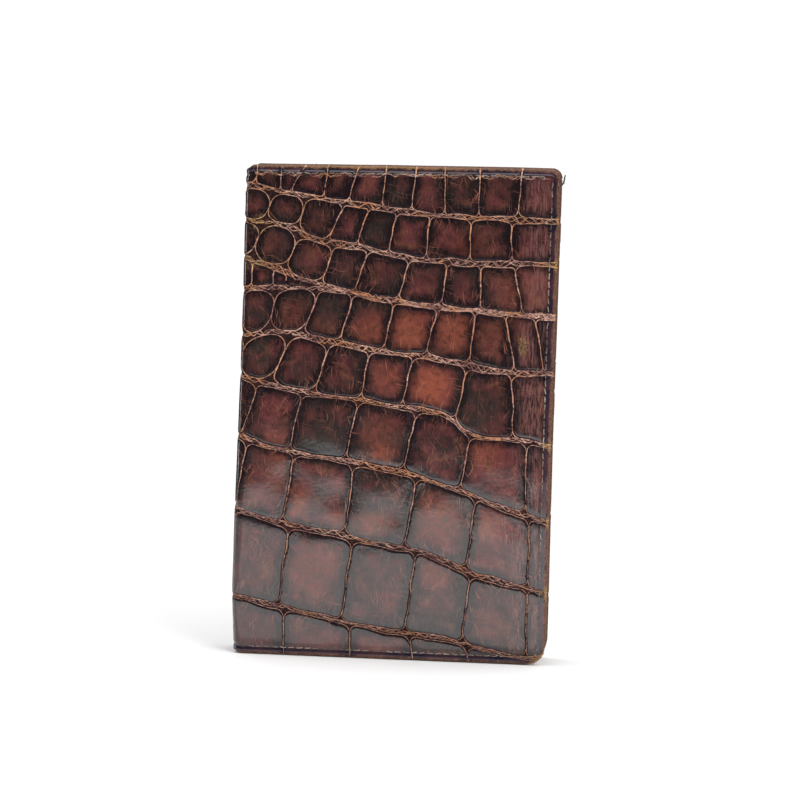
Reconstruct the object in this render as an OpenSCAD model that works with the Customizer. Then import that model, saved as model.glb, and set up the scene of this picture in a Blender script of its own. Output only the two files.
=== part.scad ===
// Bifold card case in crocodile leather. Two stiffened covers are joined by a soft
// spine. Inside the front cover are a slip pocket and a small stamp pocket, and
// inside the back cover is a card pocket with gussets on three sides.
//
// The closed case stands on its bottom edges. X runs from the spine (-X) to the
// free edge (+X), Y from the front (-Y) to the back (+Y), and Z is up. The origin
// is at the middle of the underside. The case opens about two upright creases, one
// at each side of the spine, in the middle of the thickness of the hide.

/* [Case] */
// Width of the closed case, from the spine to the free edge
case_w = 70; // [66:0.5:80]
// Height of the case
case_h = 110; // [100:1:130]
// Thickness of the closed case
case_t = 15; // [12:0.2:17]
// Radius of the corners at the free edge
free_corner_r = 2.2; // [1.2:0.1:3]
// Radius of the corners at the spine
spine_corner_r = 1.2; // [0.6:0.1:2]

/* [Covers] */
// Thickness of the crocodile hide
hide_t = 1; // [0.8:0.1:1.2]
// Thickness of the card stiffener, and of the turned-in hide round it
stiffener_t = 0.5; // [0.3:0.1:0.6]
// Distance from the edge of a cover to its stiffener
turn_in_w = 3; // [2.6:0.1:4]
// Thickness of the calf lining
lining_t = 0.5; // [0.3:0.1:0.6]
// Distance from the edge of a cover to its lining
lining_inset = 0.8; // [0.5:0.1:1.2]

/* [Pockets] */
// Distance from the edges of a cover to its pocket
pocket_inset = 3.5; // [2.5:0.5:5]
// Distance from the outer face of the spine to the mouths of the pockets
mouth_inset = 6; // [5:0.5:10]
// Thickness of the card pocket's panel
card_panel_t = 0.8; // [0.6:0.1:0.8]
// Thickness of the silk facing inside the card pocket's panel
facing_t = 0.2; // [0.1:0.1:0.3]
// Thickness of the slip pocket's panel
slip_panel_t = 0.6; // [0.5:0.1:0.7]
// Thickness of the stamp pocket's panel
stamp_panel_t = 0.5; // [0.4:0.1:0.6]
// Width of the stamp pocket
stamp_w = 36; // [30:1:40]
// Height of the stamp pocket
stamp_h = 42; // [30:1:60]
// Radius of the half-moon in the mouth of a pocket
thumb_r = 9; // [6:0.5:12]

/* [Gussets] */
// Width of each gusset's two sewn edges
gusset_w = 3; // [2.6:0.1:4]
// Thickness of the gusset leather
gusset_t = 0.5; // [0.4:0.1:0.6]

/* [Stitching] */
// Distance from the edge of a cover to its seam
seam_inset = 1.8; // [1.5:0.1:2]
// Distance from the edge of a pocket's panel to its seam
pocket_seam_inset = 1.4; // [1.2:0.1:1.6]
// Distance from one stitch to the next
stitch_pitch = 1.8; // [1.6:0.1:2.4]
// Length of one stitch
stitch_l = 1.3; // [1:0.1:1.4]
// Width of the thread
thread_w = 0.4; // [0.3:0.05:0.5]

/* [Hidden] */

$fn = 48;
HIDE = [0.27, 0.12, 0.09];
CALF = [0.43, 0.25, 0.15];
POCKET_CALF = [0.36, 0.20, 0.12];
SILK = [0.38, 0.33, 0.22];
CARD = [0.72, 0.66, 0.54];
THREAD = [0.66, 0.58, 0.48];

BACK = 1;
FRONT = -1;

groove_w = 0.7;          // width of the groove that a seam lies in
cover_groove_d = 0.35;   // depth of that groove in the hide
panel_groove_d = 0.2;    // depth of that groove in a pocket's panel
panel_edge_w = 2.6;      // width of a flat pocket's thicker, sewn edge
slip_room = 0.4;         // room inside the slip pocket
stamp_room = 0.3;        // room inside the stamp pocket
closed_gap = 0.5;        // gap between the two halves of the closed case
crease_gap = 0.25;       // gap between the round of a crease and a cover's hide

// The creases
crease_x = -case_w / 2 + hide_t / 2;
crease_y = case_t / 2 - hide_t / 2;

// Left ends of the layers of a cover, which step back from the crease
hide_x = crease_x + hide_t / 2 + crease_gap;
lining_x = hide_x + 0.75;
stiffener_x = lining_x + 1.5;
mouth_x = -case_w / 2 + mouth_inset;
free_x = case_w / 2;

// Depths of the layers, measured inwards from the outer face of a cover
lining_d = hide_t + stiffener_t;
lined_d = lining_d + lining_t;
slip_d = lined_d + slip_room;
stamp_d = slip_d + slip_panel_t + stamp_room;
front_t = stamp_d + stamp_panel_t;
card_panel_d = case_t - front_t - closed_gap - card_panel_t;
facing_d = card_panel_d - facing_t;

// Corners of the pocket panels, as [x, z]
pocket_low = [mouth_x, pocket_inset];
pocket_high = [free_x - pocket_inset, case_h - pocket_inset];
stamp_low = [pocket_high.x - pocket_seam_inset - 3 - stamp_w, pocket_low.y + 6];
stamp_high = stamp_low + [stamp_w, stamp_h];

// A rectangle with round corners, of one radius on its left and one on its right
module round_sheet(low, high, left_r, right_r) {
    size = high - low;
    translate([low.x + left_r, low.y])
        square([size.x - left_r - right_r, size.y]);
    for (side = [[low.x, low.x + left_r, left_r], [high.x, high.x - right_r, right_r]]) {
        r = side[2];
        translate([min(side[0], side[1]), low.y + r])
            square([r, size.y - 2 * r]);
        for (z = [low.y + r, high.y - r])
            intersection() {
                translate([side[1], z]) circle(r);
                translate([min(side[0], side[1]), z - r]) square([r, 2 * r]);
            }
    }
}

// The outline of a cover, from x to the free edge, moved in from the three edges
module cover_outline(x, inset, left_r = spine_corner_r) {
    right_r = max(free_corner_r - inset, 0.6);
    round_sheet([x, inset], [free_x - inset, case_h - inset], left_r, right_r);
}

// A flat layer of one half, from one depth below the outer face, in the X-Z plane
module layer(half, depth, thickness) {
    if (half == FRONT)
        mirror([0, 1, 0]) layer(BACK, depth, thickness) children();
    else
        translate([0, case_t / 2 - depth, 0])
            rotate([90, 0, 0])
                linear_extrude(thickness) children();
}

// One stitch, a short bar with round ends along X
module stitch() {
    square([stitch_l - thread_w, thread_w], center = true);
    for (x = [-1, 1])
        translate([x * (stitch_l - thread_w) / 2, 0]) circle(thread_w / 2, $fn = 16);
}

// A row of stitches from one point to another, centred between them
module stitch_row(from, to) {
    run = to - from;
    length = norm(run);
    count = floor(length / stitch_pitch);
    start = (length - (count - 1) * stitch_pitch) / 2;
    translate(from)
        rotate(atan2(run.y, run.x))
            for (i = [0:count - 1])
                translate([start + i * stitch_pitch, 0]) stitch();
}

// A seam along the bottom, the right and the top of a sheet
module three_sided_seam(low, high, inset) {
    right = high.x - inset;
    bottom = low.y + inset;
    top = high.y - inset;
    turn = 0.9;  // room for the thread to turn at a corner
    stitch_row([low.x, bottom], [right - turn, bottom]);
    stitch_row([right, bottom + turn], [right, top - turn]);
    stitch_row([right - turn, top], [low.x, top]);
}

// The groove that such a seam lies in
module three_sided_groove(low, high, inset) {
    outer = inset - groove_w / 2;
    inner = inset + groove_w / 2;
    difference() {
        translate([low.x - 1, low.y + outer])
            square([high.x - low.x + 1 - outer, high.y - low.y - 2 * outer]);
        translate([low.x - 2, low.y + inner])
            square([high.x - low.x + 2 - inner, high.y - low.y - 2 * inner]);
    }
}

// The hide of a cover, with a recess for the stiffener and a groove for the seam
module cover_leather(half) {
    color(HIDE)
        difference() {
            union() {
                layer(half, 0, hide_t) cover_outline(hide_x, 0);
                layer(half, hide_t, stiffener_t) cover_outline(lining_x, 0);
            }
            layer(half, hide_t, stiffener_t + 1) cover_outline(stiffener_x, turn_in_w, 0.6);
            layer(half, -1, cover_groove_d + 1)
                three_sided_groove([hide_x, 0], [free_x, case_h], seam_inset);
        }
}

module cover_stiffener(half) {
    color(CARD)
        layer(half, hide_t, stiffener_t) cover_outline(stiffener_x, turn_in_w, 0.6);
}

module cover_lining(half) {
    color(CALF)
        layer(half, lining_d, lining_t) cover_outline(lining_x, lining_inset, 0.6);
}

module cover_stitching(half) {
    color(THREAD)
        layer(half, 0, cover_groove_d)
            three_sided_seam([hide_x, 0], [free_x, case_h], seam_inset);
}

// The half-moon that is cut out of a pocket's mouth
module thumb_cut() {
    translate([mouth_x, case_h / 2]) circle(thumb_r);
}

// A flat pocket's panel: a thin sheet whose sewn edges are as much thicker as the
// pocket has room inside. The mouth is on the left, or on the top.
module flat_pocket_panel(low, high, depth, thickness, room, open_top = false) {
    color(POCKET_CALF)
        difference() {
            layer(FRONT, depth - room, thickness + room) round_sheet(low, high, 0.6, 1);
            layer(FRONT, depth - room - 1, room + 1)
                if (open_top)
                    translate([low.x + panel_edge_w, low.y + panel_edge_w])
                        square([high.x - low.x - 2 * panel_edge_w, high.y - low.y]);
                else
                    translate([low.x - 1, low.y + panel_edge_w])
                        square([high.x - low.x + 1 - panel_edge_w, high.y - low.y - 2 * panel_edge_w]);
            layer(FRONT, depth + thickness - panel_groove_d, 1)
                if (open_top) stamp_groove();
                else three_sided_groove(low, high, pocket_seam_inset);
            if (!open_top) layer(FRONT, depth - room - 1, thickness + room + 2) thumb_cut();
        }
}

// The stamp pocket's groove and seam run down its left, along its bottom and up
// its right, so both are drawn lying on their side and turned
module stamp_turned() {
    translate([stamp_high.x, stamp_high.y])
        rotate(-90)
            translate([0, -stamp_w])
                children();
}

module stamp_groove() {
    stamp_turned() three_sided_groove([0, 0], [stamp_h, stamp_w], pocket_seam_inset);
}

module slip_pocket_panel() {
    flat_pocket_panel(pocket_low, pocket_high, slip_d, slip_panel_t, slip_room);
}

module slip_pocket_stitching() {
    color(THREAD)
        layer(FRONT, slip_d + slip_panel_t - panel_groove_d, panel_groove_d)
            three_sided_seam(pocket_low, pocket_high, pocket_seam_inset);
}

module stamp_pocket_panel() {
    flat_pocket_panel(stamp_low, stamp_high, stamp_d, stamp_panel_t, stamp_room, true);
}

module stamp_pocket_stitching() {
    color(THREAD)
        layer(FRONT, stamp_d + stamp_panel_t - panel_groove_d, panel_groove_d)
            stamp_turned() three_sided_seam([0, 0], [stamp_h, stamp_w], pocket_seam_inset);
}

module card_pocket_panel() {
    color(POCKET_CALF)
        difference() {
            layer(BACK, card_panel_d, card_panel_t)
                difference() {
                    round_sheet(pocket_low, pocket_high, 0.6, 1);
                    thumb_cut();
                }
            layer(BACK, card_panel_d + card_panel_t - panel_groove_d, 1)
                three_sided_groove(pocket_low, pocket_high, pocket_seam_inset);
        }
}

// The silk lies inside the panel, clear of the gussets
module card_pocket_facing() {
    color(SILK)
        layer(BACK, facing_d, facing_t)
            difference() {
                round_sheet(
                    pocket_low + [0.8, gusset_w + 0.3],
                    pocket_high - [gusset_w + 0.3, gusset_w + 0.3],
                    0.6, 0.6
                );
                translate([mouth_x, case_h / 2]) circle(thumb_r + 0.8);
            }
}

module card_pocket_stitching() {
    color(THREAD)
        layer(BACK, card_panel_d + card_panel_t - panel_groove_d, panel_groove_d)
            three_sided_seam(pocket_low, pocket_high, pocket_seam_inset);
}

// A gusset's section: a channel that opens outwards, along +Y, between the lining
// and the panel. Its edges are sewn to both, and its web faces the cards.
module gusset_section() {
    depth = card_panel_d - lined_d;
    difference() {
        square([depth, gusset_w]);
        translate([gusset_t, gusset_t]) square([depth - 2 * gusset_t, gusset_w]);
    }
}

// A straight gusset along +X from the mouth, under the top edge of the pocket
module gusset_along_x(length) {
    translate([mouth_x, case_t / 2 - lined_d, 0])
        rotate([90, 0, 90])
            mirror([1, 0])
                linear_extrude(length) gusset_section();
}

module card_pocket_gusset_top() {
    color(CALF)
        translate([0, 0, pocket_high.y - gusset_w])
            gusset_along_x(pocket_high.x - mouth_x);
}

module card_pocket_gusset_bottom() {
    color(CALF)
        translate([0, 0, case_h])
            mirror([0, 0, 1])
                translate([0, 0, pocket_high.y - gusset_w])
                    gusset_along_x(pocket_high.x - mouth_x);
}

module card_pocket_gusset_side() {
    length = pocket_high.y - pocket_low.y - 2 * gusset_w;
    color(CALF)
        translate([pocket_high.x - gusset_w, case_t / 2 - lined_d, pocket_low.y + gusset_w])
            rotate(-90)
                linear_extrude(length) gusset_section();
}

// The spine's hide: a strip whose two long edges are round about the creases
module spine_leather() {
    height = case_h - 2 * spine_corner_r;
    color(HIDE)
        translate([crease_x, 0, spine_corner_r]) {
            translate([-hide_t / 2, -crease_y, 0]) cube([hide_t, 2 * crease_y, height]);
            for (y = [-crease_y, crease_y])
                translate([0, y, 0]) cylinder(h = height, d = hide_t);
        }
}

module spine_lining() {
    half_w = crease_y - hide_t / 2 - 0.4;
    inset = spine_corner_r + lining_inset;
    color(CALF)
        translate([crease_x + hide_t / 2, -half_w, inset])
            cube([lining_t, 2 * half_w, case_h - 2 * inset]);
}

cover_leather(BACK);  // back_cover_leather
cover_stiffener(BACK);  // back_stiffener
cover_lining(BACK);  // back_lining
cover_stitching(BACK);  // back_edge_stitching
card_pocket_panel();
card_pocket_facing();
card_pocket_gusset_top();
card_pocket_gusset_bottom();
card_pocket_gusset_side();
card_pocket_stitching();
spine_leather();
spine_lining();
cover_leather(FRONT);  // front_cover_leather
cover_stiffener(FRONT);  // front_stiffener
cover_lining(FRONT);  // front_lining
cover_stitching(FRONT);  // front_edge_stitching
slip_pocket_panel();
slip_pocket_stitching();
stamp_pocket_panel();
stamp_pocket_stitching();
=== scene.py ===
"""The looks of the crocodile card case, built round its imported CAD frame.

Everything soft is made here: the hide with its scales, the worn folds between
them, the seams, the lining and the pockets. Lengths are in millimetres until a
mesh is made. A place on the hide is (u, z): u is the distance from the spine's
edge, measured flat across a cover and along the leather round its crease, and z
is the height.
"""

import math

import bmesh
import bpy
import numpy as np
from mathutils import Matrix, Vector


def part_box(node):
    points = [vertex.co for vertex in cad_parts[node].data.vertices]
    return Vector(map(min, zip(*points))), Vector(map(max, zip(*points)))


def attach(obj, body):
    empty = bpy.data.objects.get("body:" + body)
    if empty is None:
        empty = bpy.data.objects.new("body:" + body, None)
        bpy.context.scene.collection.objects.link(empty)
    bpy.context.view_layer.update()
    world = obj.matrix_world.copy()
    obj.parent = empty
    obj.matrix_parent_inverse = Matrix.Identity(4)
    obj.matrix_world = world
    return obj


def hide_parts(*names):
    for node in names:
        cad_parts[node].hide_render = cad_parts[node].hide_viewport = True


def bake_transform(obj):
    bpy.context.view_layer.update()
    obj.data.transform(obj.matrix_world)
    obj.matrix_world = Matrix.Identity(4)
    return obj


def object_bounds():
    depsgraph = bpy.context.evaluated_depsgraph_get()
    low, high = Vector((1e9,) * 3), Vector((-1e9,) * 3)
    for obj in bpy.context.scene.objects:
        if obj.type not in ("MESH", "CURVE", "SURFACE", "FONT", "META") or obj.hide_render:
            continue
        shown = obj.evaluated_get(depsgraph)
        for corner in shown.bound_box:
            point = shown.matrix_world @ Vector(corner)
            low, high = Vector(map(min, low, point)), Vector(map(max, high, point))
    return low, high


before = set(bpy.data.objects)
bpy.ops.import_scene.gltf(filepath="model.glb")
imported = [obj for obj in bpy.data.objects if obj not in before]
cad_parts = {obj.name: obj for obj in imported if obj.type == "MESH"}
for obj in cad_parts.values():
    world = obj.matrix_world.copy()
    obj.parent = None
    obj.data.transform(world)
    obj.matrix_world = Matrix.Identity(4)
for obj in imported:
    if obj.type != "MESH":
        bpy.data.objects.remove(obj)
cad_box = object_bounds()

MM = 0.001
FRONT = -1
BACK = 1


def node_box(node):
    """Low and high corner of a CAD node, in millimetres."""
    return [np.array(corner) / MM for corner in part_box(node)]


# ------------ measures

case_low, case_high = [np.array(corner) / MM for corner in cad_box]
CASE_W, CASE_T, CASE_H = case_high - case_low
SPINE_X = case_low[0]
OUTER_Y = CASE_T / 2

# Depths below the outer face of a cover, and insets from its edges
lining_low, lining_high = node_box("front_lining")
LINING_D = lining_low[1] + OUTER_Y
LINED_D = lining_high[1] + OUTER_Y
LINING_INSET = CASE_W / 2 - lining_high[0]
CAD_THREAD_W = 0.4
SEAM_INSET = CASE_W / 2 - node_box("front_edge_stitching")[1][0] + CAD_THREAD_W / 2
EDGE_R = LINING_D / 2  # the hide turns round this radius at its edges
FOLD_R = 2.2  # and round this one at the two creases
CORNER_R = 2.3  # corners at the free edge
TURNED_IN = 2.2  # width of the turned-in hide that is modelled

# How far wear has moved the case's outline
SPINE_OUT = 0.45  # the lower half stands out at the spine
FOOT_IN = 0.7  # but the spine's foot is worn in
FREE_OUT = 0.35  # the lower half stands out at the free edges too
SPINE_WAVE = 0.08
COVER_SWELL = 0.1
CORNER_WEAR = 0.65  # the lower free corners are rubbed off
CORNER_WORN = 5  # within this distance
SPINE_DIP = 0.75  # the spine's ends stop short of the covers' ends
TOP_TILT = 0.6  # the top edge rises from the spine to the free corner

# Thread
STITCH_PITCH = 1.8
STITCH_L = 1.45
STITCH_W = 0.25
STITCH_UP = 0.1  # its middle stands this far up from the surface
STITCH_SUNK = 0.24  # and its ends lie this far below it
PLY_OFF = 0.27  # a ply's distance from the thread's middle, and half its
PLY_HALF = 0.36  # width, as shares of the thread's width
TWIST = 5.5  # turn of the two plies along a stitch
SEAM_TURN = 0.9  # distance of the stitches from a seam's corners

# u where the bend at the crease ends, and at the middle of the spine
FOLD_U = FOLD_R - math.pi * FOLD_R / 2
MID_U = FOLD_U - (OUTER_Y - FOLD_R)


def smooth(x):
    """0 below 0, 1 above 1 and a smooth step between them."""
    x = np.clip(x, 0, 1)
    return x * x * (3 - 2 * x)


def unit(vectors):
    """The vectors, each with a length of 1."""
    return vectors / np.maximum(np.linalg.norm(vectors, axis=-1, keepdims=True), 1e-9)


def waves(x, y, length, seed):
    """Smooth noise from -1 to 1, with waves about that long."""
    phases = np.random.default_rng(seed).uniform(0, 2 * math.pi, (5, 2))
    total = 0
    for k, (phase, turn) in enumerate(phases):
        angle = turn + 1.3 * k
        run = x * math.cos(angle) + y * math.sin(angle)
        total = total + np.sin(run * 2 * math.pi / (length * (0.7 + 0.17 * k)) + phase)
    return total / 5


# ------------ the closed case's form


def place(u, z, depth, side):
    """The point at (u, z), so deep below the outer face of the front or the back."""
    turn = np.clip((FOLD_R - u) / FOLD_R, 0, math.pi / 2)
    out_x = -np.sin(turn)
    out_y = np.cos(turn)
    x = SPINE_X + FOLD_R * (1 + out_x) + np.maximum(u - FOLD_R, 0)
    y = OUTER_Y - FOLD_R * (1 - out_y) - np.maximum(FOLD_U - u, 0)
    at_foot = smooth((0.15 * CASE_H - z) / (0.15 * CASE_H))
    low = smooth((0.6 * CASE_H - z) / (0.4 * CASE_H))
    below_middle = smooth((0.5 * CASE_H - z) / (0.5 * CASE_H))
    slack = FOOT_IN * at_foot * np.exp(-np.maximum(u, 0) / 4)
    slack = slack - SPINE_OUT * low * (1 - smooth(u / 40))
    slack = slack + FREE_OUT * below_middle * smooth(u / CASE_W)
    slack = slack + SPINE_WAVE * waves(z, 0 * z, 38, 3) * np.exp(-np.maximum(u, 0) / 6)
    swell = COVER_SWELL * waves(u, z, 45, 5) * smooth(u / 12)
    near_corner = smooth((u - CASE_W + CORNER_WORN) / CORNER_WORN)
    blunt = CORNER_WEAR * near_corner * smooth((CORNER_WORN - z) / CORNER_WORN)
    x = x - depth * out_x + slack - blunt
    y = side * (y - depth * out_y + swell)
    return np.stack([x, y, z + blunt], axis=-1)


def round_corner(along, end, inset, level_end):
    """A place along a side, and inset from it, moved round the corner at end.

    The last stretch of the side is spread over the straight and half of the corner's arc.
    """
    span = 6
    far = along - (end - span)
    share = np.clip(far / (level_end - (end - span)), 0, 1)
    arc_r = np.maximum(CORNER_R - inset, 0)
    straight = span - np.maximum(CORNER_R, inset)
    run = share * (straight + arc_r * math.pi / 4)
    turn = np.clip((run - straight) / np.maximum(arc_r, 1e-6), 0, math.pi / 4)
    on_arc = run > straight
    along_out = np.where(on_arc, end - CORNER_R + arc_r * np.sin(turn), end - span + run)
    along_out = np.where(on_arc & (arc_r <= 0), end - inset, along_out)
    inset_out = np.where(on_arc & (arc_r > 0), CORNER_R - arc_r * np.cos(turn), inset)
    moved = far > 0
    return np.where(moved, along_out, along), np.where(moved, inset_out, inset)


def skin(u, z, side):
    """The hide's smooth outer face at (u, z), with its edges turned in."""
    start_u = CASE_W - EDGE_R
    start_z = CASE_H / 2 - EDGE_R
    up = np.where(z > CASE_H / 2, 1.0, -1.0)
    from_mid = np.abs(z - CASE_H / 2)
    past_u = u - start_u
    past_z = from_mid - start_z
    past = np.maximum(past_u, past_z)
    turn = np.clip(past / EDGE_R, 0, math.pi)
    depth = EDGE_R * (1 - np.cos(turn))
    inset = np.where(past < 0, EDGE_R - past, EDGE_R * (1 - np.sin(turn)))
    inset = inset + np.maximum(past - math.pi * EDGE_R, 0)

    side_along, side_inset = round_corner(from_mid, CASE_H / 2, inset, start_z + past)
    end_along, end_inset = round_corner(u, CASE_W, inset, start_u + past)
    on_side = past_u > past_z
    new_u = np.where(on_side, CASE_W - side_inset, end_along)
    new_mid = np.where(on_side, side_along, CASE_H / 2 - end_inset)
    # the spine's ends stop short, the lower one less, and the top edge is not quite level
    near_end = smooth((new_mid - CASE_H / 2 + 8) / 8)
    dip = np.where(z > CASE_H / 2, 1, 0.6) * SPINE_DIP * smooth((1.7 - new_u) / 2.0) * near_end
    warp = TOP_TILT * smooth((new_u - 20) / 50) - TOP_TILT * smooth((35 - new_u) / 40)
    warp = np.where(z > CASE_H / 2, warp * smooth(new_mid / (CASE_H / 2)), 0)
    return place(new_u, CASE_H / 2 + up * (new_mid - dip) + warp, depth, side)


def skin_frame(u, z, side):
    """The hide's smooth outer face at (u, z), and the direction out of it."""
    step = 0.04
    along_u = skin(u + step, z, side) - skin(u - step, z, side)
    along_z = skin(u, z + step, side) - skin(u, z - step, side)
    return skin(u, z, side), unit(np.cross(along_u, along_z) * -side)


def edge_run(u, z):
    """How far (u, z) is past the start of the turned edge; it is negative on the face."""
    past_z = np.abs(z - CASE_H / 2) - (CASE_H / 2 - EDGE_R)
    return np.maximum(u - (CASE_W - EDGE_R), past_z)


# ------------ the pattern of scales

# The furrows between the rows of scales on the front, from the top down, as points
# (distance from the spine edge, height). The third one and the fourth run together.
MERGED = [(26, 81.5), (38, 79.5), (52, 78.5), (70, 77.5)]
FURROWS = [
    [(0, 105.5), (6, 104.5), (14, 103), (24, 101.5), (35, 100), (48, 99), (70, 98.5)],
    [(0, 97.5), (10, 96), (16, 93.5), (25, 92), (35, 90), (48, 89), (70, 89)],
    [(0, 89), (6, 87.5), (13, 84.5), (20, 82.8), *MERGED],
    [(0, 82), (15, 82.5), *MERGED],
    [(0, 71.5), (8, 72.5), (18, 71), (30, 69), (45, 67.5), (52, 66), (70, 65)],
    [(0, 62), (12, 59.5), (24, 58), (37, 56.5), (48, 54), (51, 51.5), (60, 50.5), (70, 49)],
    [(0, 48.5), (8, 46.5), (24, 44), (37, 42), (51, 38), (64, 33.5), (70, 32)],
    [(0, 32.5), (7, 30.5), (20, 28), (34, 25.5), (43, 24), (49, 21.5), (70, 16)],
    [(0, 13), (13, 10.5), (28, 7.5), (43, 5.5), (51, 4.5), (59, 2.5), (70, 1)],
]
# The lines between the scales of each row, as (distance from the spine edge at the
# middle of the row, lean to the right for each unit up)
LINES = [
    [(2.5, 0), (8, 0), (11.5, 0.6), (18, 0.1), (24, 0.3), (31, 0.1), (37.5, 0.1), (44.5, 0),
     (52, 0), (61, 0.1)],
    [(5.5, 0.2), (13, 0.2), (20.5, 0.4), (26.5, 0.3), (33, 0.2), (41, 0.1), (50.5, 0),
     (59.5, 0)],
    [(3, 0.3), (11, 0.4), (19, 0.3), (26.5, 0.3), (36, 0.25), (45, 0.15), (53, 0),
     (61.5, -0.2)],
    [(2, 0), (7, 0), (10, 0), (17, 0.2)],
    [(7, 0.1), (15.5, 0.35), (23.5, 0.25), (33, 0.2), (42.5, 0.25), (51.5, 0.1), (60, -0.2),
     (66.5, -0.2)],
    [(0, 0.2), (9, 0.4), (18.5, 0.3), (28, 0.15), (37.5, 0.2), (49.5, 0.2), (61, -0.05)],
    [(2.5, 0.3), (13, 0.2), (25.5, 0.2), (38.5, 0.2), (51, 0.15), (64.5, 0)],
    [(1, 0.2), (12, 0.15), (25.5, 0.1), (39, 0.15), (52.5, 0.1), (65.5, 0)],
    [(-1, 0.1), (11.5, 0.1), (25.5, 0.1), (39.5, 0.1), (52, 0.1), (65.5, 0)],
    [(-1, 0), (12, 0), (26.5, 0), (40, -0.2), (52.5, -0.25)],
]
BACK_END = 2 * MID_U - CASE_W - 8  # the pattern runs on round the spine and over the back
LINE_GAP = 0.06  # half the width of a line between scales
SCALE_H = 0.17  # height of a scale above the furrow beside it
SHOULDER_W = 0.4  # width of the slopes on both sides of a scale's outline
CROWN_H = 0.05
FURROW_D = 0.12
CRUMPLE_H = 0.07
UNEVEN_H = 0.045
SEAM_D = 0.16
FIRST_ROW = 6  # the first row of scales starts this far above the case
LAST_ROW = 17  # and the last one is this high
SCALE_ASPECT = 0.85  # width of a scale as a share of its height, on the back
SCALE_W = (6.5, 13.5)  # and its limits


def furrow(k, u):
    """Height of furrow k at u. 0 is a line above the case and the last one is below it."""
    if k == 0:
        return CASE_H + FIRST_ROW + 0 * u
    if k == len(FURROWS) + 1:
        return furrow(k - 1, u) - LAST_ROW
    points = np.array(FURROWS[k - 1], float)
    slopes = np.gradient(points[:, 1], points[:, 0])
    i = np.clip(np.searchsorted(points[:, 0], u) - 1, 0, len(points) - 2)
    span = points[i + 1, 0] - points[i, 0]
    s = np.clip((u - points[i, 0]) / span, 0, 1)
    on_front = (
        points[i, 1] * (1 - s) ** 2 * (1 + 2 * s)
        + points[i + 1, 1] * s**2 * (3 - 2 * s)
        + span * s * (1 - s) * (slopes[i] * (1 - s) - slopes[i + 1] * s)
    )
    round_spine = np.minimum(u, 0)
    drift = 8 * slopes[0] * (np.exp(round_spine / 8) - 1)
    drift = drift + 2.4 * (np.sin(round_spine / 17 + 0.45 * k) - math.sin(0.45 * k))
    return on_front + drift


def furrow_half(k, u):
    """Half the width of furrow k at u."""
    return 0.46 + 0.05 * (k % 3) + 0.12 * np.sin(u / 5.3 + 2.1 * k) + 0.1 * np.sin(u / 1.9 + k)


def row_lines(row):
    """The lines of a row, from the back's free edge to the front's, with the row's height there."""
    lines = [(u, lean) for u, lean in LINES[row]]
    seeded = np.random.default_rng(40 + row)
    u = min(lines)[0]
    while u > BACK_END:
        height = furrow(row, np.array(u)) - furrow(row + 1, np.array(u))
        u -= np.clip(SCALE_ASPECT * height, *SCALE_W) * seeded.uniform(0.85, 1.15)
        lines.append((u, seeded.uniform(-0.15, 0.2)))
    lines.append((CASE_W + 5, 0))  # a last line past the free edge
    made = []
    for u, lean in sorted(lines):
        top = np.minimum(furrow(row, np.array(u)), CASE_H)
        bottom = np.maximum(furrow(row + 1, np.array(u)), 0)
        made.append((u, lean, float(top + bottom) / 2))
    return np.array(made)


ROWS = [row_lines(row) for row in range(len(LINES))]


def roundness(u, row):
    """How round the scales are: their corners' radius as a share of their size."""
    rounder = 0.3 * smooth(1 - np.abs(u - 4) / 22) if row in (1, 2, 4, 5) else 0
    return 0.13 + rounder


def ripple(u, z):
    """Small wanderings that make the lines look grown."""
    return (
        0.28 * waves(u, z, 9, 11) + 0.1 * waves(u, z, 3, 12),
        0.28 * waves(u, z, 10, 13) + 0.1 * waves(u, z, 3.3, 14),
    )


def pattern(u, z):
    """For places on the hide: distance inside the scale, and a number from 0 to 1 for the scale."""
    shift_u, shift_z = ripple(u, z)
    u = u + shift_u
    z = z + shift_z
    gap = np.full(u.shape, -1.0)
    tone = np.full(u.shape, 0.5)
    for row, lines in enumerate(ROWS):
        top = furrow(row, u)
        bottom = furrow(row + 1, u)
        here = (z < top) & (z >= bottom) & (top - bottom > 0.4)
        ru, rz = u[here], z[here]
        at = lines[:, 0] + lines[:, 1] * (rz[:, None] - lines[:, 2])
        i = np.clip((ru[:, None] > at).sum(axis=1), 1, len(lines) - 1)
        rows = np.arange(len(ru))
        left = ru - at[rows, i - 1]
        right = at[rows, i] - ru
        width = left + right
        height = top[here] - bottom[here]
        dx = np.minimum(left, right) - LINE_GAP
        dz = np.minimum(
            top[here] - rz - furrow_half(row, ru), rz - bottom[here] - furrow_half(row + 1, ru)
        )
        r = roundness(ru, row) * np.minimum(width, height)
        corner = (dx < r) & (dz < r)
        gap[here] = np.where(corner, r - np.hypot(r - dx, r - dz), np.minimum(dx, dz))
        tones = np.random.default_rng(90 + row).uniform(0, 1, len(lines) + 1)
        tone[here] = tones[i]
    return gap, tone


def seam_gap(u, z):
    """Distance from the seam that runs round the three free edges."""
    past_u = u - (CASE_W - SEAM_INSET)
    past_z = np.abs(z - CASE_H / 2) - (CASE_H / 2 - SEAM_INSET)
    outside = np.hypot(np.maximum(past_u, 0), np.maximum(past_z, 0))
    return np.where((past_u < 0) & (past_z < 0), -np.maximum(past_u, past_z), outside)


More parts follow.
